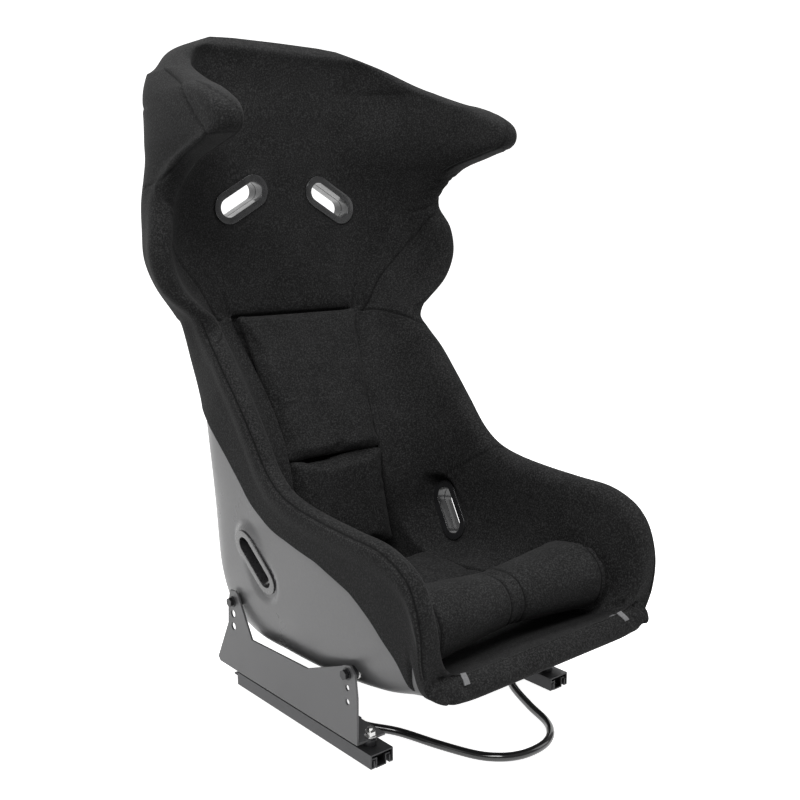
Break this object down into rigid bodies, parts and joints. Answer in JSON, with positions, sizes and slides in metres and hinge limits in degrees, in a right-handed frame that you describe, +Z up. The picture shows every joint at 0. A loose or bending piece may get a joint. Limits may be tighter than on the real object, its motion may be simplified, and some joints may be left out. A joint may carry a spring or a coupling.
{
  "type": "racing seat",
  "caption": "Fixed-back racing bucket seat with head wings, belt slots, loose cushions, side brackets and sliding floor rails with a release bar.",
  "frame": {"origin": "middle of the four floor bolt holes, on the underside of the floor rails", "axes": "+Z up, the occupant faces -Y, +X is the occupant's left"},
  "size_m": [0.588, 0.6516, 1.0049],
  "materials": {
    "black_fabric": "fine felted knit, matt, with a faint pale mottle",
    "grey_webbing": "pale grey woven webbing",
    "grey_shell": "satin grey gel coat on glass-fibre laminate",
    "black_plastic": "glossy moulded black plastic",
    "bracket_paint": "satin dark grey powder coat",
    "rail_steel": "black phosphated and oiled sheet steel",
    "bar_paint": "gloss black paint",
    "cage_plastic": "natural nylon",
    "black_oxide": "black oxide steel",
    "zinc": "bright zinc plate",
    "bright_steel": "bare steel"
  },
  "bodies": {
    "floor_rails": {"lower_rail_left": "rail_steel", "lower_rail_right": "rail_steel"},
    "ball_cages": {"ball_cage_left": "cage_plastic", "ball_cage_right": "cage_plastic", "bearing_balls_left": "bright_steel", "bearing_balls_right": "bright_steel"},
    "seat": {"upper_rail_left": "rail_steel", "upper_rail_right": "rail_steel", "rail_studs": "zinc", "spacer_washers": "rail_steel", "flange_nuts": "zinc", "side_bracket_left": "bracket_paint", "side_bracket_right": "bracket_paint", "side_bolts": "black_oxide", "bolt_washers": "black_oxide", "shell_spacers": "black_oxide", "shell_inserts": "bright_steel", "shell": "grey_shell", "front_trim": "black_fabric", "pan_trim": "black_fabric", "hip_trim": "black_fabric", "back_trim": "black_fabric", "shoulder_trim": "black_fabric", "head_trim": "black_fabric", "edge_roll": "black_fabric", "outer_trim_left": "black_fabric", "outer_trim_right": "black_fabric", "seat_pad": "black_fabric", "thigh_roll_left": "black_fabric", "thigh_roll_right": "black_fabric", "lower_back_pad": "black_fabric", "upper_back_pad": "black_fabric", "webbing_tabs": "grey_webbing", "shoulder_bezels_front": "black_plastic", "shoulder_bezels_rear": "black_plastic", "lap_bezels_inner": "black_plastic", "lap_bezels_outer": "black_plastic", "latch_lugs": "rail_steel", "pivot_pins": "zinc", "latch_springs": "bright_steel"},
    "release_bar": {"release_bar": "bar_paint", "latch_plates": "rail_steel"}
  },
  "joints": [
    {"name": "seat_slide", "type": "slide", "parent": "floor_rails", "child": "seat", "axis": [0, -1, 0], "range_m": [-0.09, 0.09]},
    {"name": "cage_slide", "type": "slide", "parent": "floor_rails", "child": "ball_cages", "axis": [0, -1, 0], "range_m": [-0.045, 0.045]},
    {"name": "release_lift", "type": "hinge", "parent": "seat", "child": "release_bar", "pos_m": [0, -0.07, 0.017], "axis": [-1, 0, 0], "range_deg": [0, 9], "stiffness_Nm_per_rad": 4, "springref_deg": -17.19}
  ],
  "couplings": [
    {"joint": "cage_slide", "follows": "seat_slide", "ratio": 0.5}
  ]
}
